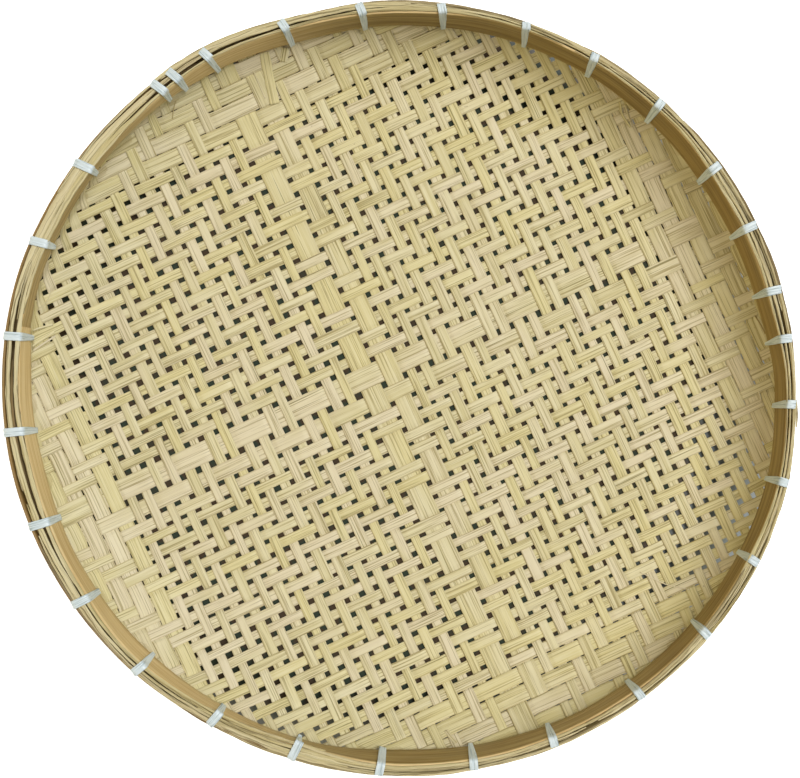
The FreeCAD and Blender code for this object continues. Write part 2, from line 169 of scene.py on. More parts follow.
# Scraps lying on the mat: the strip each one doubles, how wide and how brown it is, and its way along the
# mat, as places across and along the weave.
SCRAPS = [
    ("warp_14", 5.8, 0.0, [(18.6, 211.0), (14.7, 194.9), (11.4, 179.6)]),
    ("warp_15", 4.6, 0.1, [(31.4, 208.0), (28.8, 204.0), (26.6, 200.6)]),
    ("weft_20", 1.2, 0.0, [(-182.3, 108.6), (-174.0, 109.6), (-166.0, 110.4)]),
    ("weft_19", 1.1, 0.0, [(-182.8, 106.1), (-175.0, 107.1), (-166.7, 108.1)]),
    ("weft_20", 1.4, 0.0, [(-178.6, 117.4), (-172.0, 116.2), (-165.2, 115.0)]),
    ("weft_21", 0.45, 0.3, [(-157.2, 134.1), (-162.0, 129.7), (-167.7, 127.8), (-173.6, 125.9)]),
    ("warp_23", 1.4, 0.0, [(200.3, 94.6), (198.3, 87.4), (198.6, 82.6), (199.5, 77.6)]),
    ("warp_23", 1.1, 0.0, [(202.8, 91.3), (201.5, 84.4), (200.6, 77.7)]),
    ("warp_13", 0.7, 0.2, [(7.8, 202.7), (7.7, 195.5), (7.5, 185.2)]),
    ("warp_10", 2.2, 0.3, [(-52.5, -205.0), (-51.6, -210.2), (-50.2, -215.0)]),
    ("warp_23", 0.7, 0.9, [(220.3, -56.3), (221.3, -62.4), (221.7, -69.0)]),
    ("warp_23", 0.8, 0.0, [(206.9, -99.4), (207.1, -101.5), (206.8, -103.3)]),
    ("warp_23", 0.8, 0.0, [(202.8, -98.1), (202.7, -101.0), (202.2, -103.8)]),
    ("warp_17", 0.5, 0.0, [(93.3, -167.6), (103.7, -180.0), (115.6, -189.3)]),
    ("warp_09", 0.6, 0.6, [(-48.2, 197.4), (-45.5, 202.0), (-42.2, 206.4)]),
]


# ---- The weave's plan and its way from a flat mat to the tray ----

class Strip:
    """One flat bamboo strip: its middle, its width and its place counted out from the weave's middle."""

    def __init__(self, middle, width, count, side):
        self.middle = middle
        self.width = width
        self.count = count
        self.side = side
        self.low = middle - width / 2
        self.high = middle + width / 2


def one_side(sizes, chance):
    """The strips on one side of the weave's middle, from the broad strip out to the border."""
    strips = [Strip(sizes["side"] * BROAD_PLACE, sizes["broad"], 1, sizes["side"])]
    place = BROAD_PLACE + (sizes["broad"] + STRIP_WIDTH) / 2 + sizes["pitch"] - STRIP_WIDTH
    for count in range(2, sizes["usual"] + 2):
        width = STRIP_WIDTH + chance.uniform(-WIDTH_SPREAD, WIDTH_SPREAD)
        middle = place + chance.uniform(-PLACE_SPREAD, PLACE_SPREAD)
        strips.append(Strip(sizes["side"] * middle, width, count, sizes["side"]))
        place += sizes["pitch"]
    place += (BORDER_WIDTH - STRIP_WIDTH) / 2 + SLIT - (sizes["pitch"] - STRIP_WIDTH) + WIDTH_SPREAD / 2
    for count in range(sizes["usual"] + 2, sizes["usual"] + sizes["border"] + 2):
        strips.append(Strip(sizes["side"] * place, BORDER_WIDTH, count, sizes["side"]))
        place += BORDER_PITCH
    return strips


def both_sides(low_side, high_side, seed):
    """All the strips of one direction, in order across the tray."""
    chance = random.Random(seed)
    strips = one_side(low_side, chance) + one_side(high_side, chance)
    return sorted(strips, key=lambda strip: strip.middle)


def weft_is_over(warp, weft):
    """Two over, two under, with the step turned round at the middle, which draws nested diamonds."""
    over = (warp.count + weft.count) % 4 in (1, 2)
    if warp.side < 0:
        over = not over
    if weft.side > 0:
        over = not over
    return over


def smooth_step(share):
    """A share that leaves 0 and comes to 1 gently."""
    return share * share * (3 - 2 * share)


def held_step(share):
    """A smooth step that stays at 0 before its start and at 1 past its end."""
    return smooth_step(min(1.0, max(0.0, share)))


def between(values, angle):
    """A value between those given at even steps all the way round, going smoothly from one to the next."""
    place = (angle % 360) * len(values) / 360
    index = int(place)
    share = smooth_step(place - index)
    return values[index % len(values)] * (1 - share) + values[(index + 1) % len(values)] * share


def oval_point(share, angle):
    """The point between the rim's inner face (share 0) and its outer face (share 1) at an angle."""
    long_half = ((1 - share) * INNER_LONG + share * OUTER_LONG) / 2
    short_half = ((1 - share) * INNER_SHORT + share * OUTER_SHORT) / 2
    turn = math.radians(RIM_TURN)
    inside = math.radians(angle) - turn
    along = Vector((math.cos(turn), math.sin(turn), 0)) * (long_half * math.cos(inside))
    across = Vector((-math.sin(turn), math.cos(turn), 0)) * (short_half * math.sin(inside))
    return Vector(((1 - share) * INNER_SHIFT[0], (1 - share) * INNER_SHIFT[1], 0)) + along + across


def rim_frame(angle):
    """The rim's inner top edge at an angle, the ways outwards and along the rim there, and its width."""
    inside = oval_point(0, angle)
    outwards = oval_point(1, angle) - inside
    width = outwards.length + between(OUTER_SHIFT, angle) - between(TOP_SHIFT, angle)
    outwards.normalize()
    inside += outwards * between(TOP_SHIFT, angle)
    return inside, outwards, Vector((-outwards.y, outwards.x, 0)), width


MOST_LEAN = 1.2  # below the hoop, the tape leans no further than this share of its height


def lean(angle, up):
    """How far the inner hoop stands outwards of its top edge, at a height."""
    share = min(MOST_LEAN, max(0.0, (HOOP_TOP - up) / HOOP_HEIGHT))
    return (between(BOTTOM_SHIFT, angle) - between(TOP_SHIFT, angle)) * share


def wall_distance(direction):
    """From the inner hoop's centre to the middle of the mat in the wall."""
    grow = MAT_PLACE + between(BOTTOM_SHIFT, math.degrees(direction))
    inside = direction - math.radians(RIM_TURN)
    long_half = INNER_LONG / 2 + grow
    short_half = INNER_SHORT / 2 + grow
    return 1 / math.hypot(math.cos(inside) / long_half, math.sin(inside) / short_half)


WEAVE_COS = math.cos(math.radians(WEAVE_TURN))
WEAVE_SIN = math.sin(math.radians(WEAVE_TURN))


def flat_distance(across, along):
    """Distance and direction of a point of the flat mat from the inner hoop's centre."""
    x = WEAVE_CENTRE[0] - INNER_SHIFT[0] + across * WEAVE_COS - along * WEAVE_SIN
    y = WEAVE_CENTRE[1] - INNER_SHIFT[1] + across * WEAVE_SIN + along * WEAVE_COS
    return math.hypot(x, y), math.atan2(y, x)


def past_floor(across, along):
    """How far a point of the flat mat lies past the edge of the flat floor, along the mat."""
    distance, direction = flat_distance(across, along)
    return distance - (wall_distance(direction) - BELLY_RUN - BEND_RUN)


def mat_point(across, along, level):
    """The place in the tray of a point of the flat mat, at a level above the mat's middle."""
    distance, direction = flat_distance(across, along)
    floor_edge = wall_distance(direction) - BELLY_RUN - BEND_RUN
    past = distance - floor_edge
    if past <= 0:
        out, up, slope = distance, 0.0, 0.0
    elif past <= BELLY_LENGTH:
        slope = past / BELLY_RADIUS
        out = floor_edge + BELLY_RADIUS * math.sin(slope)
        up = BELLY_RADIUS * (1 - math.cos(slope))
    elif past <= BELLY_LENGTH + BEND_LENGTH:
        slope = BELLY_ANGLE + (past - BELLY_LENGTH) / BEND_RADIUS
        out = floor_edge + BELLY_RUN + BEND_RADIUS * (math.sin(slope) - math.sin(BELLY_ANGLE))
        up = BELLY_RISE + BEND_RADIUS * (math.cos(BELLY_ANGLE) - math.cos(slope))
    else:
        slope = math.pi / 2
        out = floor_edge + BELLY_RUN + BEND_RUN
        up = BELLY_RISE + BEND_RISE + past - BELLY_LENGTH - BEND_LENGTH
        angle = math.degrees(direction)
        out += lean(angle, FLOOR_Z + up) - lean(angle, HOOP_BOTTOM)
    out -= level * math.sin(slope)
    up += level * math.cos(slope) + FLOOR_Z
    x = INNER_SHIFT[0] + out * math.cos(direction)
    y = INNER_SHIFT[1] + out * math.sin(direction)
    return Vector((x, y, up))


def in_weave(is_warp, side, place):
    """The weave's across and along of a point at one side of a strip, at a place along it."""
    return (side, place) if is_warp else (place, side)


def strip_end(strip, is_warp, way):
    """How far along its length a strip runs before it comes to the mat's top edge."""
    inside, outside = 0.0, way * (INNER_LONG + 2 * MAT_REACH)
    while abs(outside - inside) > END_TOLERANCE:
        trial = (inside + outside) / 2
        reach = max(past_floor(*in_weave(is_warp, side, trial)) for side in (strip.low, strip.high))
        if reach < MAT_REACH:
            inside = trial
        else:
            outside = trial
    return inside


# ---- Meshes ----

def drift(number, place, size):
    """A smooth unevenness between about -1 and 1, different for each number, over about the given size."""
    return noise.noise(Vector((place / size, number * 7.31 + 0.5, 3.7))) * 1.6


def curve(keys, parts):
    """Points on a smooth curve from the second of four keys to the third."""
    points = []
    for part in range(parts):
        share = part / parts
        point = []
        for before, start, end, after in zip(*keys):
            slope = end - before
            bend = 2 * before - 5 * start + 4 * end - after
            twist = 3 * start - before - 3 * end + after
            point.append(0.5 * (2 * start + slope * share + bend * share ** 2 + twist * share ** 3))
        points.append(point)
    return points


def smooth_loop(keys, parts):
    """Points on a smooth closed curve through the keys."""
    points = []
    for index in range(len(keys)):
        points += curve([keys[(index + step) % len(keys)] for step in (-1, 0, 1, 2)], parts)
    return points


def smooth_way(keys, parts):
    """Points on a smooth open curve through the keys."""
    last = len(keys) - 1
    points = []
    for index in range(last):
        points += curve([keys[min(last, max(0, index + step))] for step in (-1, 0, 1, 2)], parts)
    return points + [list(keys[last])]


def add_object(name, data):
    """A new object in the scene."""
    added = bpy.data.objects.new(name, data)
    bpy.context.scene.collection.objects.link(added)
    return added


def make_piece(name, node, runs, material, closed=False):
    """A mesh in place of a CAD node's, from runs of cross-sections, each a row of points round the piece.

    With each run come its grain, which holds for each point how far along and across the piece it is and
    the piece's number, and its marks, how far each point has the marked tones. The materials read both.
    """
    points, faces, grain, marks = [], [], [], []
    for rows, run_grain, run_marks in runs:
        first = len(points)
        count = len(rows[0])
        for row in range(len(rows) if closed else len(rows) - 1):
            here, there = first + row * count, first + ((row + 1) % len(rows)) * count
            for corner in range(count):
                following = (corner + 1) % count
                faces.append((here + corner, here + following, there + following, there + corner))
        if not closed:
            last = first + (len(rows) - 1) * count
            faces.append(tuple(first + corner for corner in range(count))[::-1])
            faces.append(tuple(last + corner for corner in range(count)))
        points += [point * MM for row in rows for point in row]
        grain += [value for row in run_grain for point in row for value in point]
        marks += [value for row in run_marks for value in row] if run_marks else [0.0] * (len(rows) * count)
    mesh = bpy.data.meshes.new(name)
    mesh.from_pydata(points, [], faces)
    mesh.attributes.new("grain", "FLOAT_VECTOR", "POINT").data.foreach_set("vector", grain)
    mesh.attributes.new("mark", "FLOAT", "POINT").data.foreach_set("value", marks)
    mesh.shade_smooth()
    mesh.materials.append(material)
    piece = add_object(name, mesh)
    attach(piece, "root")
    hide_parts(node)


# A strip's cross-section, as shares of half its width and half its thickness: crowned, with worn edges.
STRIP_SECTION = [
    (-1.0, 0.30), (-0.955, 0.86), (-0.62, 1.0), (-0.22, 1.04), (0.20, 1.04), (0.62, 1.0), (0.955, 0.86),
    (1.0, 0.30), (1.0, -0.50), (0.94, -1.0), (-0.94, -1.0), (-1.0, -0.50),
]
ROW_STEP = 2.4  # a strip has a row of points at least this often
EDGE_WANDER = 0.24  # how far a strip's edges wander to and fro
EDGE_LENGTH = 28.0  # over about this length
UPPER_POINTS = range(2, 6)  # those of its points that are on its upper face, away from the edges
FIBRE_RISE = 0.035  # how uneven its upper face is from fibre to fibre
FIBRE_LENGTH = 60.0  # over about this length
LEAST_STEP_PARTS = 4  # a strip has at least this many rows where it steps over or under
WALL_WIDENING = 0.016  # border strips widen by this much for each mm they climb, and so close up
MOST_WIDENING = 0.9
EDGE_SHADE_START = 0.9  # painted shade darkens its edges from this share of the way out
EDGE_SHADE_MARK = 0.32  # by this much


def strip_levels(strip, is_warp, crossings):
    """Places along a strip, each with its level, smooth in the gaps between the strips it crosses."""
    start, end = strip_end(strip, is_warp, -1), strip_end(strip, is_warp, 1)
    keys = []
    for other in crossings:
        low, high = max(other.low, start), min(other.high, end)
        if high - low < LEAST_CROSSING:
            continue
        weft_over = weft_is_over(strip, other) if is_warp else weft_is_over(other, strip)
        level = STRIP_LEVEL if weft_over != is_warp else -STRIP_LEVEL
        keys += [(low, level), (high, level)]
    keys[0] = (start, keys[0][1])
    keys[-1] = (end, keys[-1][1])
    levels = keys[:1]
    for (place, level), (next_place, next_level) in zip(keys, keys[1:]):
        parts = math.ceil((next_place - place) / ROW_STEP)
        if level != next_level:
            parts = max(parts, LEAST_STEP_PARTS)
        for part in range(1, parts + 1):
            share = part / parts
            levels.append((place + (next_place - place) * share,
                           level + (next_level - level) * smooth_step(share)))
    return levels


def make_strip(name, node, strip, is_warp, crossings, number, material):
    """One woven strip, in place of its solid in the CAD node."""
    rows, grain, marks = [], [], []
    for place, level in strip_levels(strip, is_warp, crossings):
        low = strip.low + EDGE_WANDER * drift(number, place, EDGE_LENGTH)
        high = strip.high + EDGE_WANDER * drift(number + 0.37, place, EDGE_LENGTH)
        if strip.width == BORDER_WIDTH:
            climb = max(0.0, past_floor(*in_weave(is_warp, strip.middle, place)))
            widening = min(MOST_WIDENING, WALL_WIDENING * climb) / 2
            low -= widening
            high += widening
        row, row_grain = [], []
        for index, (side, height) in enumerate(STRIP_SECTION):
            across = (low + high) / 2 + side * (high - low) / 2
            rise = height * STRIP_THICK / 2
            if index in UPPER_POINTS:
                rise += FIBRE_RISE * drift(number + 0.1 * index, place, FIBRE_LENGTH)
            row.append(mat_point(*in_weave(is_warp, across, place), level + rise))
            row_grain.append((place, across - strip.middle, number))
        rows.append(row)
        grain.append(row_grain)
        # Its edges take the marked tones: painted shade along the strip's edges.
        marks.append([EDGE_SHADE_MARK if abs(side) > EDGE_SHADE_START else 0.0 for side, height in STRIP_SECTION])
    make_piece(name, node, [(rows, grain, marks)], material)


SCRAP_THICK = 0.3
SCRAP_PARTS = 8  # rows of points from one place on its way to the next
SCRAP_LEVEL = STRIP_LEVEL + (STRIP_THICK + SCRAP_THICK) / 2 + 0.1


def make_scrap(name, number, scrap, material):
    """A loose sliver or a short strip's end, lying on the woven mat."""
    node, wide, brown, way = scrap
    points = smooth_way(way, SCRAP_PARTS)
    rows, grain = [], []
    for index, (across, along) in enumerate(points):
        before, after = points[max(0, index - 1)], points[min(len(points) - 1, index + 1)]
        length = math.hypot(after[0] - before[0], after[1] - before[1])
        side_across = -(after[1] - before[1]) / length
        side_along = (after[0] - before[0]) / length
        half = wide / 2 * (1 + 0.08 * drift(number, along, 6.0))
        level = SCRAP_LEVEL + 0.15 * drift(number + 0.5, along, 20.0) ** 2
        row, row_grain = [], []
        for side, height in STRIP_SECTION:
            out = side * half
            rise = level + height * SCRAP_THICK / 2
            row.append(mat_point(across + out * side_across, along + out * side_along, rise))
            row_grain.append((along, out, number))
        rows.append(row)
        grain.append(row_grain)
    marks = [[brown] * len(STRIP_SECTION) for row in rows]
    make_piece(name, node, [(rows, grain, marks)], material)


def ring_run(number, start, end, step, section):
    """A run of cross-sections round the rim. section gives its points as (outwards, up, across, mark)."""
    rows, grain, marks = [], [], []
    parts = math.ceil((end - start) / step)
    radius = (INNER_LONG + INNER_SHORT) / 4
    for part in range(parts + 1):
        angle = start + (end - start) * part / parts
        inside, outwards, _, width = rim_frame(angle)
        points = section(angle, width)
        rows.append([inside + outwards * out + Vector((0, 0, up)) for out, up, across, mark in points])
        grain.append([(math.radians(angle) * radius, across, number) for out, up, across, mark in points])
        marks.append([mark for out, up, across, mark in points])
    return rows, grain, marks


def make_ring(name, node, number, start, end, step, section, material):
    """A band bent round the rim."""
    make_piece(name, node, [ring_run(number, start, end, step, section)], material)


HOOP_STEP = 0.5
INNER_LAP_PLACE = 171.0  # where the inner hoop's end lies over its other end, cut off square
OUTER_LAP_PLACE = 20.0
LAP_TURN = 13.0  # how far round a hoop's ends overlap
LAP_RUN = 22.0  # how far round it takes to step aside for the overlap
INNER_LAP_SHARE = 0.45  # its first end's thickness there, as a share of the hoop's
OUTER_LAP_SHARE = 0.42
INNER_STEP_TURN = 2.5  # the inner hoop's other end steps behind over this far round
INNER_STEP_SHARE = 0.5  # by this share of the thickness
OUTER_STEP_SHARE = 0.48
FRONT_END_TURN = 2.0  # its front end is cut back further, over this far round
FRONT_END_LIFT = 6.0
BEHIND_TURN = 21.0  # behind its front end it is evenly pale, from this far before
BEHIND_PALE = 0.4
TOP_EDGE_PALE = 0.9  # the inner hoop's worn top edge is this pale
# How pale each hoop's face is, every 30 degrees round from +X.
INNER_PALE = [0.0, 0.0, 0.05, 0.1, 0.9, 0.4, 1.0, 0.7, 0.8, 0.15, 0.35, 0.0]
OUTER_PALE = [0.5, 0.2, 0.4, 0.1, 0.2, 0.0, 0.0, 0.0, 0.0, 0.3, 0.7, 0.8]

# A hoop's cross-section, as shares of its thickness and height.
HOOP_SECTION = [
    (0.22, 0.0), (0.0, 0.015), (0.0, 0.2), (0.0, 0.4), (0.0, 0.6), (0.0, 0.8), (0.0, 0.96), (0.16, 0.99),
    (0.38, 1.0), (0.62, 1.0), (0.86, 0.99), (1.0, 0.96), (1.0, 0.7), (1.0, 0.35), (1.0, 0.015), (0.78, 0.0),
]
HOOP_TOP_EDGE = 0.95  # its rough top edge starts at this share of its height
HOOP_PALE_EDGE = 0.975  # and the worn part of that at this one
HOOP_BOTTOM_EDGE = 0.05
# How far round the cross-section each of its points is, for the grain.
HOOP_ROUND = [0.0]
for (share, height), (next_share, next_height) in zip(HOOP_SECTION, HOOP_SECTION[1:]):
    length = math.hypot((next_share - share) * 2, (next_height - height) * HOOP_HEIGHT)
    HOOP_ROUND.append(HOOP_ROUND[-1] + length)


def hoop_sides(angle, lap_place, thick, lap_share, behind):
    """A hoop's near and far side: it is thin at its first end, and steps behind that at its last end."""
    if angle < lap_place + 180:
        front = held_step((angle - lap_place - LAP_TURN) / LAP_RUN)
        return 0.0, thick * (lap_share + (1 - lap_share) * front)
    return thick * behind, thick


def inner_hoop_section(number):
    """The inner hoop at an angle: it leans, thins where its ends overlap and is paler in places."""

    def section(angle, width):
        behind = INNER_STEP_SHARE * held_step(1 - (INNER_LAP_PLACE + 360 - angle) / INNER_STEP_TURN)
        near, far = hoop_sides(angle, INNER_LAP_PLACE, INNER_HOOP_THICK, INNER_LAP_SHARE, behind)
        at_front_end = angle <= INNER_LAP_PLACE + FRONT_END_TURN
        lift = FRONT_END_LIFT if at_front_end else between(HOOP_LIFT, angle)
        at_behind = angle > INNER_LAP_PLACE + 360 - BEHIND_TURN
        pale = BEHIND_PALE if at_behind else between(INNER_PALE, angle)
        points = []
        for index, (share, height) in enumerate(HOOP_SECTION):
            up = HOOP_BOTTOM + HOOP_HEIGHT * height
            if height < 0.5:
                up += lift * (1 - 2 * height) + 0.2 + 0.2 * drift(number, angle, 9.0)
            out = near + (far - near) * share + lean(angle, up)
            out += 0.08 * drift(number + 0.2 * index, angle, 7.0) * (0.2 < height < 0.97)
            if height > HOOP_TOP_EDGE:
                up -= 0.2 + 0.18 * drift(number + 0.31 * index, angle, 3.5)
                up -= 0.16 * drift(number + index, angle, 0.8)
            mark = TOP_EDGE_PALE if height > HOOP_PALE_EDGE else pale
            points.append((out, up, HOOP_ROUND[index], mark))
        return points

    return section


def outer_hoop_section(number):
    """The outer hoop at an angle: it thins where its ends overlap."""

    def section(angle, width):
        behind = OUTER_STEP_SHARE * (1 - held_step((OUTER_LAP_PLACE + 360 - angle) / LAP_RUN))
        near, far = hoop_sides(angle, OUTER_LAP_PLACE, OUTER_HOOP_THICK, OUTER_LAP_SHARE, behind)
        pale = between(OUTER_PALE, angle)
        points = []
        for index, (share, height) in enumerate(HOOP_SECTION):
            up = HOOP_BOTTOM + HOOP_HEIGHT * height
            if height > HOOP_TOP_EDGE:
                up -= 0.1 + 0.25 * drift(number + 0.31 * index, angle, 5.0)
                up -= 0.15 * drift(number + index, angle, 0.9)
            if height < HOOP_BOTTOM_EDGE:
                up += 0.15 + 0.15 * drift(number, angle, 14.0)
            out = near + (far - near) * share
            out += 0.08 * drift(number + 0.2 * index, angle, 6.0) * (height > 0.2)
            points.append((width - out, up, HOOP_ROUND[index], pale))
        return points[::-1]

    return section


SPLINT_POINTS = 13  # on its upper face
SPLINT_STEP = 0.3
SPLINT_END_TURN = 3.0  # a splint thins to its end over this far round
SPLINT_RIDGE = 0.22  # how rough its upper face is from fibre to fibre
SPLINT_FLAT = 0.62  # its thickness as a share of the room under the lashings
SPLINT_WANDER = 0.30  # how far its edges wander
SPLINT_NOTCH = 0.14  # and how deep the short notches in them are
LEAST_HALF = 0.25  # half of its least width
LEAST_THICK = 0.12
STRAW_THICK = 0.55
STRAW_RISE = 0.2  # how high a loose straw lies, apart from its own lift


def ragged(number, angle):
    """How far a split edge stands out of its even way."""
    return SPLINT_WANDER * drift(number, angle, 7.0) + SPLINT_NOTCH * drift(number + 0.2, angle, 1.6)


def flat_section(number, place_at, start, end, bottom, thick, mark):
    """A split straw: flat and rough above, with wandering edges, thinning at its ends."""

    def section(angle, width):
        taper = min(1.0, (angle - start) / SPLINT_END_TURN, (end - angle) / SPLINT_END_TURN)
        taper = 0.2 + 0.8 * max(0.0, taper)
        near, far = place_at(angle, width)
        near += ragged(number, angle)
        far += ragged(number + 0.5, angle)
        middle = (near + far) / 2
        half = max(LEAST_HALF, (far - near) / 2) * (0.25 + 0.75 * taper)
        low = bottom + 0.25 * (0.5 + 0.5 * drift(number + 0.9, angle, 9.0))
        points = [(middle + half, low, 0.0, mark), (middle - half, low, 2 * half, mark)]
        for index in range(SPLINT_POINTS):
            share = index / (SPLINT_POINTS - 1) * 2 - 1
            rise = thick * taper * (0.4 + 0.6 * (1 - abs(share) ** 2.4))
            rise += SPLINT_RIDGE * taper * drift(number + 0.37 * index, angle, 6.0)
            rise += 0.5 * SPLINT_RIDGE * drift(number + 0.61 * index, angle, 1.7)
            round_it = 2 * half + (share + 1) * half
            points.append((middle + share * half, low + max(rise, LEAST_THICK), round_it, mark))
        return points

    return section


def make_splint(name, node, number, start, end):
    """A covering splint all along the rim, its edges between those given round the rim."""
    nears = [near for near, far in SPLINT_EDGES[name]]
    fars = [far for near, far in SPLINT_EDGES[name]]

    def place_at(angle, width):
        return between(nears, angle) * width, between(fars, angle) * width

    thick = SPLINT_THICK * SPLINT_FLAT
    section = flat_section(number, place_at, start, end, SPLINT_BOTTOM, thick, 0.0)
    make_ring(name, node, number, start, end, SPLINT_STEP, section, SPLINT_BAMBOO)


def straw_run(number, straw):
    """A loose straw on the rim: it drifts across from one place to another along its way."""
    start, end, from_share, to_share, wide, lift, brown = straw

    def place_at(angle, width):
        share = smooth_step((angle - start) / (end - start))
        middle = (from_share * (1 - share) + to_share * share) * width
        return middle - wide / 2, middle + wide / 2

    bottom = SPLINT_BOTTOM + STRAW_RISE + lift
    section = flat_section(number, place_at, start, end, bottom, STRAW_THICK, brown)
    return ring_run(number, start, end, SPLINT_STEP, section)


PACKING_START = 118.5
PACKING_END = 285.5
PACKING_STEP = 1.0
PACKING_DEPTH = 8.5  # the packing splints lie this far below the hoops' top edges
PACKING_BOTTOM = 16.0  # and their lower edges this far
MAT_ROOM = 0.8  # from the middle of the mat to the inner splint's place
HOOP_ROOM = 0.1  # from the outer splint's place to the outer hoop
PACKING_CLEARANCE = 0.06  # on each side of a splint, within its place
PACKING_BEVEL = 0.2


def packing_section(number, share):
    """A low splint that fills half of the gap between the mat and the outer hoop, painted in dark tones as
    painted shade.
    """

    def section(angle, width):
        start = MAT_PLACE + MAT_ROOM
        room = width - OUTER_HOOP_THICK - HOOP_ROOM - start
        near = start + share * room + PACKING_CLEARANCE
        far = near + room / 2 - 2 * PACKING_CLEARANCE
        top = HOOP_TOP - PACKING_DEPTH + 0.3 * drift(number, angle, 7.0)
        bottom = HOOP_TOP - PACKING_BOTTOM
        outline = [
            (far, bottom, 0), (near, bottom, far - near), (near, top - PACKING_BEVEL, 10),
            (near + PACKING_BEVEL, top, 10.3), ((near + far) / 2, top + 0.1, 11),
            (far - PACKING_BEVEL, top, 12), (far, top - PACKING_BEVEL, 12.3),
        ]
        # Mark 1 paints it all in the splints' dark marked tones: painted shade, so the deep gaps between the
        # covering splints look dark.
        return [(out, up, across, 1) for out, up, across in outline]

    return section


# A strand of tape: its cross-section as shares of half its width and half its thickness.
TAPE_SECTION = [
    (-1, 0), (-0.8, 0.75), (-0.3, 1.0), (0.3, 1.0), (0.8, 0.75), (1, 0), (0.75, -0.8), (-0.75, -0.8),
]
TAPE_THICK = 0.4
TAPE_WIDTH = 4.7  # of all strands side by side, across the top of the rim
TAPE_PARTS = 4  # rows of points from one place on its way to the next
TAPE_ROW = 1.3  # the rows are about this far apart
STRAND_COUNTS = (2, 2, 3)  # two strands are more common than three
LASHING_SEED = 500
STRAND_OVERLAP = 1.12  # each strand is this much wider than its share of the width
STRAND_GRAIN = 3  # two strands lie this far apart in the grain
LEAST_SPREAD = 0.1  # a strand drawn together keeps this share of its width


def lashing_path(angle, width, tip):
    """The tape's way round the rim, as (outwards, up, spread of the strands, pull along the rim)."""
    over = between(OVERHANG, angle)
    lift = between(HOOP_LIFT, angle)
    foot = HOOP_BOTTOM + 0.8 * lift
    path = [
        (1.3, foot - 3.4, tip * 0.8, 1.0),
        (-0.2, foot - 1.9, tip, 1.0),
        (-0.6, foot, 0.1 + 0.9 * tip, 0.97),
        (-0.50, HOOP_BOTTOM + 4.5 + 0.6 * lift, 0.35 + 0.65 * tip, 0.86),
        (-0.38, HOOP_BOTTOM + 9.5 + 0.4 * lift, 0.6 + 0.4 * tip, 0.68),
        (-0.34, HOOP_BOTTOM + 14.5 + 0.2 * lift, 0.82 + 0.18 * tip, 0.50),
        (-0.30 - 0.7 * over, HOOP_TOP - 2.0, 0.96, 0.36),
        (0.05 - 1.1 * over, HOOP_TOP + 0.5 + 0.2 * over, 1.0, 0.30),
        (0.12 * width - 0.6 * over, SPLINT_TOP - 0.15 + 0.2 * over, 1.0, 0.26),
        (0.35 * width, SPLINT_TOP + 0.18, 1.0, 0.17),
        (0.65 * width, SPLINT_TOP + 0.18, 1.0, 0.07),
        (0.88 * width, SPLINT_TOP - 0.15, 1.0, 0.02),
        (width + 0.10, HOOP_TOP + 0.3, 1.0, 0.0),
        (width + 0.30, HOOP_TOP - 2.5, 1.0, 0.0),
        (width + 0.30, HOOP_TOP - 9.0, 1.0, 0.1),
        (width + 0.30, HOOP_BOTTOM + 4.0, 0.9, 0.3),
        (width + 0.15, HOOP_BOTTOM - 0.2, 0.8, 0.5),
        (width - 0.8, HOOP_BOTTOM - 1.0, 0.7, 0.6),
        (0.6 * width, HOOP_BOTTOM - 2.4, 0.5 + 0.2 * tip, 0.8),
        (0.3 * width, HOOP_BOTTOM - 4.6, 0.2 + 0.6 * tip, 0.9),
    ]
    return [(out + lean(angle, up) * (out < 1), up, spread, pull) for out, up, spread, pull in path]


def make_lashing(number, angle, pull, tip):
    """One tie: strands of tape side by side, drawn together where they go through the mat."""
    chance = random.Random(LASHING_SEED + number)
    inside, outwards, sideways, width = rim_frame(angle)
    path = smooth_loop(lashing_path(angle, width, tip), TAPE_PARTS)
    count = len(path)
    strands = chance.choice(STRAND_COUNTS)
    pitch = TAPE_WIDTH / strands
    runs = []
    for strand in range(strands):
        offset = (strand - (strands - 1) / 2) * pitch
        lift = chance.uniform(-0.04, 0.08)
        skew = chance.uniform(-0.2, 0.2)
        centres = [
            inside + outwards * out + Vector((0, 0, up))
            + sideways * (offset * spread + pull * along + skew * (1 - spread))
            for out, up, spread, along in path
        ]
        rows, grain = [], []
        for index, (_, _, spread, _) in enumerate(path):
            forward = (centres[(index + 1) % count] - centres[index - 1]).normalized()
            across = (sideways - forward * sideways.dot(forward)).normalized()
            normal = forward.cross(across)
            half = pitch / 2 * STRAND_OVERLAP * (LEAST_SPREAD + (1 - LEAST_SPREAD) * spread)
            row, row_grain = [], []
            for side, height in TAPE_SECTION:
                rise = lift + height * TAPE_THICK / 2
                row.append(centres[index] + across * (side * half) + normal * rise)
                row_grain.append((index * TAPE_ROW, side * half + strand * STRAND_GRAIN, number))
            rows.append(row)
            grain.append(row_grain)
        runs.append((rows, grain, None))
    node = "lashing_%d" % (number // LASHINGS_PER_NODE + 1)
    make_piece("tape_lashing_%02d" % (number + 1), node, runs, TAPE, closed=True)


# ---- Materials ----

def tone(red, green, blue):
    """A colour given as on a screen, 0 to 255, as the shader wants it."""
    parts = []
    for value in (red, green, blue):
        share = value / 255
        parts.append(share / 12.92 if share <= 0.04045 else ((share + 0.055) / 1.055) ** 2.4)
    return (*parts, 1.0)


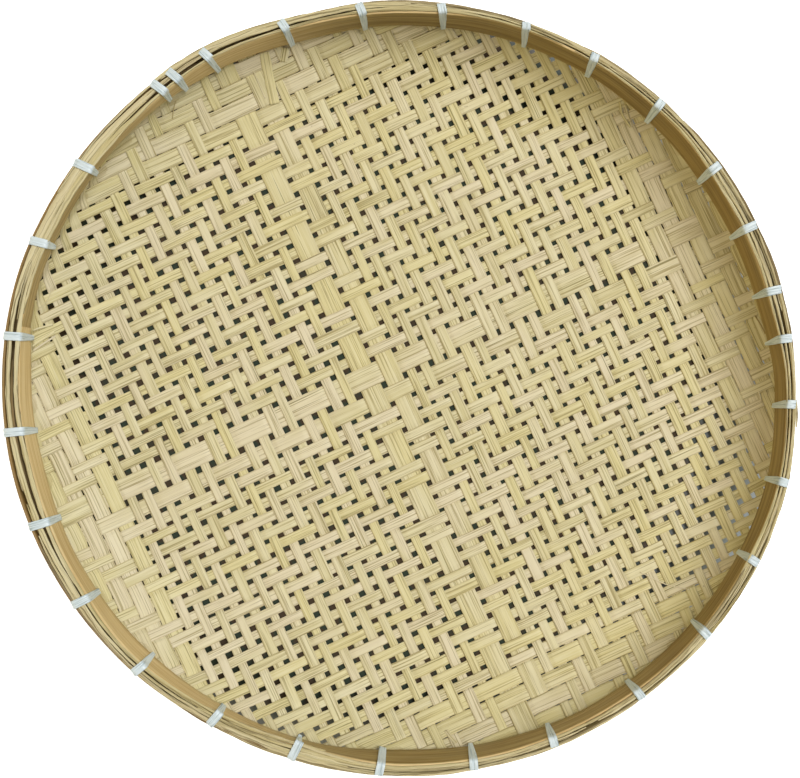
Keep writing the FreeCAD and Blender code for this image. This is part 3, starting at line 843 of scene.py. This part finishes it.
class Graph:
    """A material's nodes, with short ways to add to them."""

    def __init__(self, name):
        self.material = bpy.data.materials.new(name)
        self.material.use_nodes = True
        self.tree = self.material.node_tree
        self.shader = self.tree.nodes["Principled BSDF"]

    def add(self, kind, **settings):
        node = self.tree.nodes.new("ShaderNode" + kind)
        for name, value in settings.items():
            setattr(node, name, value)
        return node

    def put(self, value, socket):
        if isinstance(value, bpy.types.NodeSocket):
            self.tree.links.new(value, socket)
        else:
            socket.default_value = value

    def shade(self, name, value):
        self.put(value, self.shader.inputs[name])

    def attribute(self, name, output):
        return self.add("Attribute", attribute_name=name).outputs[output]

    def times(self, vector, along, across, number):
        node = self.add("VectorMath", operation="MULTIPLY")
        self.put(vector, node.inputs[0])
        node.inputs[1].default_value = (along, across, number)
        return node.outputs[0]

    def noise(self, vector, detail=2.0, roughness=0.5, scale=1.0):
        node = self.add("TexNoise")
        self.put(vector, node.inputs["Vector"])
        node.inputs["Scale"].default_value = scale
        node.inputs["Detail"].default_value = detail
        node.inputs["Roughness"].default_value = roughness
        return node.outputs["Fac"]

    def ramp(self, value, low, high, to_low=0.0, to_high=1.0):
        node = self.add("MapRange", interpolation_type="SMOOTHSTEP")
        self.put(value, node.inputs["Value"])
        ends = {"From Min": low, "From Max": high, "To Min": to_low, "To Max": to_high}
        for name, number in ends.items():
            node.inputs[name].default_value = number
        return node.outputs["Result"]

    def maths(self, operation, one, two):
        node = self.add("Math", operation=operation)
        self.put(one, node.inputs[0])
        self.put(two, node.inputs[1])
        return node.outputs[0]

    def mix(self, share, one, two, blend="MIX"):
        node = self.add("Mix", data_type="RGBA", blend_type=blend)
        self.put(share, node.inputs[0])
        self.put(one, node.inputs[6])
        self.put(two, node.inputs[7])
        return node.outputs[2]

    def bump(self, height, strength, distance):
        node = self.add("Bump")
        self.put(height, node.inputs["Height"])
        node.inputs["Strength"].default_value = strength
        node.inputs["Distance"].default_value = distance
        self.tree.links.new(node.outputs["Normal"], self.shader.inputs["Normal"])


SPECK_TONE = tone(122, 92, 56)


def bamboo(name, light, deep, warm, golden, line, stain, marked, rough, streak=0.004, lines=1.15,
           line_share=0.6, tints=0.55, specks=0.5):
    """Split bamboo: bands from light to deep, each piece's own warm or golden tint, fibre lines, stained
    cracks, and the two marked tones where the mesh is marked: real brown or pale parts, or painted shade on
    the strips' edges and on the packing splints."""
    graph = Graph(name)
    grain = graph.attribute("grain", "Vector")
    split = graph.add("SeparateXYZ")
    graph.put(grain, split.inputs[0])
    number = split.outputs[2]
    bands = graph.noise(graph.times(grain, streak, 0.30, 9.7), detail=1.0)
    fibres = graph.noise(graph.times(grain, streak * 5, lines, 5.3), detail=3.0, roughness=0.6)
    cracks = graph.noise(graph.times(grain, streak * 3, lines * 0.8, 23.9), detail=1.0)
    patches = graph.noise(graph.times(grain, 0.020, 0.10, 3.1), detail=2.0)
    tints_along = graph.noise(graph.times(grain, 0.013, 0.04, 31.7), detail=1.0)
    speck = graph.noise(graph.times(grain, 0.30, 0.55, 17.3), detail=1.0)
    own = graph.add("TexWhiteNoise", noise_dimensions="1D")
    graph.put(number, own.inputs["W"])
    tint = graph.maths("ADD", graph.maths("MULTIPLY", own.outputs["Value"], 0.55),
                       graph.maths("MULTIPLY", tints_along, 0.9))
    colour = graph.mix(graph.ramp(bands, 0.30, 0.66, 0.15, 0.85), deep, light)
    colour = graph.mix(graph.ramp(tint, 0.72, 0.92, 0.0, tints), colour, warm)
    colour = graph.mix(graph.ramp(tint, 0.72, 0.50, 0.0, tints), colour, golden)
    colour = graph.mix(graph.ramp(patches, 0.50, 0.72, 0.0, 0.45), colour, deep)
    colour = graph.mix(graph.ramp(fibres, 0.50, 0.34, 0.0, line_share), colour, line)
    colour = graph.mix(graph.ramp(fibres, 0.54, 0.68, 0.0, 0.6), colour, light)
    colour = graph.mix(graph.ramp(cracks, 0.32, 0.24, 0.0, line_share), colour, stain)
    colour = graph.mix(graph.ramp(speck, 0.80, 0.84, 0.0, specks), colour, SPECK_TONE)
    share = graph.ramp(graph.attribute("mark", "Fac"), 0.0, 1.0, 0.0, 0.9)
    colour = graph.mix(share, colour, graph.mix(graph.ramp(fibres, 0.3, 0.7), *marked))
    graph.shade("Base Color", colour)
    graph.shade("Roughness", graph.ramp(fibres, 0.3, 0.7, rough + 0.08, rough - 0.06))
    graph.shade("Specular IOR Level", 0.3)
    graph.bump(graph.maths("ADD", fibres, graph.maths("MULTIPLY", cracks, 0.6)), 0.5, 0.0002)
    return graph.material


def tape():
    """White plastic tape, drawn in fine lengthwise lines."""
    graph = Graph("lashing_tape")
    grain = graph.attribute("grain", "Vector")
    lines = graph.noise(graph.times(grain, 0.04, 1.5, 4.1), detail=2.0)
    soft = graph.noise(graph.times(grain, 0.12, 0.5, 2.3), detail=1.0)
    colour = graph.mix(graph.ramp(lines, 0.32, 0.5), tone(168, 186, 192), tone(218, 232, 238))
    colour = graph.mix(graph.ramp(soft, 0.5, 0.8, 0.0, 0.4), colour, tone(196, 212, 216))
    graph.shade("Base Color", colour)
    graph.shade("Roughness", graph.ramp(lines, 0.3, 0.7, 0.5, 0.34))
    graph.bump(lines, 0.4, 0.0002)
    return graph.material


# The strips' marked tones: painted shade along their edges, and the brown of the scraps.
STRIP_BAMBOO = bamboo("strip_bamboo", tone(227, 220, 184), tone(204, 194, 146), tone(226, 214, 190),
                      tone(219, 208, 146), tone(156, 142, 94), tone(124, 116, 66),
                      (tone(150, 128, 80), tone(176, 154, 102)), 0.58, lines=1.35, line_share=0.8)
HOOP_BAMBOO = bamboo("inner_hoop_bamboo", tone(176, 153, 96), tone(118, 98, 54), tone(150, 130, 86),
                     tone(156, 130, 70), tone(112, 86, 40), tone(92, 70, 34),
                     (tone(214, 184, 126), tone(242, 220, 168)), 0.5, streak=0.0025, lines=0.6, specks=0.3)
OUTER_BAMBOO = bamboo("outer_hoop_bamboo", tone(170, 142, 90), tone(122, 96, 52), tone(150, 120, 68),
                      tone(160, 128, 66), tone(100, 78, 42), tone(84, 64, 34),
                      (tone(190, 174, 122), tone(208, 196, 148)), 0.5, streak=0.002, lines=0.9, specks=0.3)
# The splints' marked tones: the brown of the loose straws, and painted shade on the packing splints.
SPLINT_BAMBOO = bamboo("splint_bamboo", tone(224, 215, 176), tone(184, 171, 122), tone(206, 192, 152),
                       tone(200, 186, 128), tone(116, 100, 62), tone(104, 82, 46),
                       (tone(82, 68, 40), tone(138, 110, 62)), 0.6, streak=0.002, lines=1.1, line_share=0.75)
TAPE = tape()


# ---- Building ----

# Each piece has a number of its own, for its unevenness and its tint. Here is the first one of each kind.
WARP_NUMBER = 1
WEFT_NUMBER = 61
HOOP_NUMBER = 130
SPLINT_NUMBER = 140
PACKING_NUMBER = 150
STRAW_NUMBER = 200
SCRAP_NUMBER = 300

warps = both_sides(WARP_LEFT, WARP_RIGHT, seed=1)
wefts = both_sides(WEFT_BELOW, WEFT_ABOVE, seed=2)
for number, scrap in enumerate(SCRAPS):
    make_scrap("loose_scrap_%02d" % (number + 1), SCRAP_NUMBER + number, scrap, STRIP_BAMBOO)
for kind, strips, is_warp, crossings, first_number in (
    ("warp", warps, True, wefts, WARP_NUMBER),
    ("weft", wefts, False, warps, WEFT_NUMBER),
):
    for index, strip in enumerate(strips):
        name = "%s_strip_%02d" % (kind, index + 1)
        node = "%s_%02d" % (kind, index // STRIPS_PER_NODE + 1)
        make_strip(name, node, strip, is_warp, crossings, first_number + index, STRIP_BAMBOO)

for name, node, number, lap_place, hoop_section, material in (
    ("inner_hoop_band", "inner_hoop", HOOP_NUMBER, INNER_LAP_PLACE, inner_hoop_section, HOOP_BAMBOO),
    ("outer_hoop_band", "outer_hoop", HOOP_NUMBER + 1, OUTER_LAP_PLACE, outer_hoop_section, OUTER_BAMBOO),
):
    make_ring(name, node, number, lap_place, lap_place + 360 + LAP_TURN, HOOP_STEP, hoop_section(number),
              material)
make_splint("covering_splint_inner", "splint_inner", SPLINT_NUMBER, start=65.0, end=423.0)
make_splint("covering_splint_middle", "splint_middle", SPLINT_NUMBER + 1, start=300.0, end=658.0)
make_splint("covering_splint_outer", "splint_outer", SPLINT_NUMBER + 2, start=203.0, end=487.0)
for number, straw in enumerate(STRAWS):
    make_piece("loose_straw_%02d" % (number + 1), "splint_middle", [straw_run(STRAW_NUMBER + number, straw)],
               SPLINT_BAMBOO)
for index, node in enumerate(("packing_inner", "packing_outer")):
    number = PACKING_NUMBER + index
    make_ring("packing_splint_%d" % (index + 1), node, number, PACKING_START, PACKING_END, PACKING_STEP,
              packing_section(number, index / 2), SPLINT_BAMBOO)
for number, (angle, pull, tip) in enumerate(LASHINGS):
    make_lashing(number, angle, pull, tip)


# ---- Stage, light and camera, in metres ----

FLOOR_HALF = 5.0
FLOOR_DROP = 0.0002
SHADE_PATCH_SCALE = 1.03  # the painted shade patch is a dark sheet for the shade seen through the mat's holes; it is longer than it is wide, as the tray is
SHADE_PATCH_FULL = 0.2230  # it starts to fade this far out
SHADE_PATCH_END = 0.2310  # and ends here
GREY_SHADE_SHIFT = (-0.029, 0.017)  # from this place the patch turns grey, as paler painted shade, between these two distances
GREY_SHADE_START = 0.2050
GREY_SHADE_END = 0.2350
# the floor's pale part glows by this much, so that it stays evenly white where the tray's shadow would fall
FLOOR_GLOW = 0.8
PALE_TONE = tone(250, 250, 250)
# the painted shade patch's tones: grey towards its shifted edge, and dark and spotted under the tray
GREY_SHADE_TONE = tone(150, 158, 162)
SHADE_PATCH_TONES = (tone(66, 52, 36), tone(44, 56, 44))
STUDIO_COLOUR = (1.0, 0.985, 0.95, 1.0)
STUDIO_STRENGTH = 0.23
CAMERA_PLACE = (0.0006, -0.0005, 0.706)
CAMERA_VIEW = 37.7
SENSOR_WIDTH = 36.0
NEAREST_SEEN = 0.01


def floor_material():
    """Pale and plain, glowing so that it stays evenly white, with a dark oval patch of painted shade under
    the tray for the shade seen through the mat's holes; its edge fades out, and it turns grey, as paler
    painted shade, towards one side.
    """
    graph = Graph("floor")
    place = graph.add("TexCoord").outputs["Object"]
    turned = graph.add("Mapping", vector_type="TEXTURE")
    graph.put(place, turned.inputs["Vector"])
    turned.inputs["Rotation"].default_value = (0.0, 0.0, math.radians(RIM_TURN))
    turned.inputs["Scale"].default_value = (SHADE_PATCH_SCALE, 1.0, 1.0)
    out = graph.add("VectorMath", operation="LENGTH")
    graph.put(turned.outputs[0], out.inputs[0])
    shifted = graph.add("VectorMath", operation="SUBTRACT")
    graph.put(place, shifted.inputs[0])
    shifted.inputs[1].default_value = (*GREY_SHADE_SHIFT, 0)
    length = graph.add("VectorMath", operation="LENGTH")
    graph.put(shifted.outputs[0], length.inputs[0])
    pale = graph.ramp(out.outputs["Value"], SHADE_PATCH_FULL, SHADE_PATCH_END)
    edge = graph.ramp(length.outputs["Value"], GREY_SHADE_START, GREY_SHADE_END)
    spots = graph.noise(place, detail=1.0, scale=120.0)
    # the patch's dark and grey tones are painted shade
    dark = graph.mix(edge, graph.mix(graph.ramp(spots, 0.4, 0.6), *SHADE_PATCH_TONES), GREY_SHADE_TONE)
    graph.shade("Base Color", graph.mix(pale, dark, PALE_TONE))
    graph.shade("Emission Color", graph.mix(pale, (0, 0, 0, 1), (1, 1, 1, 1)))
    graph.shade("Emission Strength", FLOOR_GLOW)
    graph.shade("Roughness", 0.9)
    return graph.material


corners = [(x * FLOOR_HALF, y * FLOOR_HALF, -FLOOR_DROP) for x, y in ((-1, -1), (1, -1), (1, 1), (-1, 1))]
floor_mesh = bpy.data.meshes.new("floor")
floor_mesh.from_pydata(corners, [], [(0, 1, 2, 3)])
floor_mesh.materials.append(floor_material())
floor = add_object("floor", floor_mesh)

world = bpy.data.worlds.new("studio")
world.use_nodes = True
backdrop = world.node_tree.nodes["Background"]
backdrop.inputs["Color"].default_value = STUDIO_COLOUR
backdrop.inputs["Strength"].default_value = STUDIO_STRENGTH
bpy.context.scene.world = world


def sun(name, azimuth, elevation, strength, size, colour):
    """A soft light far away. Its size is how broad it looks from the tray, as an angle."""
    light = bpy.data.lights.new(name, "SUN")
    light.energy = strength
    light.angle = math.radians(size)
    light.color = colour
    azimuth, elevation = math.radians(azimuth), math.radians(elevation)
    towards = Vector((math.cos(azimuth) * math.cos(elevation), math.sin(azimuth) * math.cos(elevation),
                      math.sin(elevation)))
    lamp = add_object(name, light)
    lamp.rotation_mode = "QUATERNION"
    lamp.rotation_quaternion = towards.to_track_quat("Z", "Y")


sun("key", azimuth=27.0, elevation=63.0, strength=2.38, size=35.0, colour=(1.0, 0.985, 0.965))
sun("fill", azimuth=195.0, elevation=32.0, strength=0.68, size=60.0, colour=(1.0, 0.73, 0.27))

camera = bpy.data.cameras.new("camera")
camera.sensor_width = SENSOR_WIDTH
camera.lens = SENSOR_WIDTH / 2 / math.tan(math.radians(CAMERA_VIEW / 2))
camera.clip_start = NEAREST_SEEN
camera_object = add_object("camera", camera)
camera_object.location = CAMERA_PLACE
bpy.context.scene.camera = camera_object
bpy.context.scene.view_settings.view_transform = "Standard"
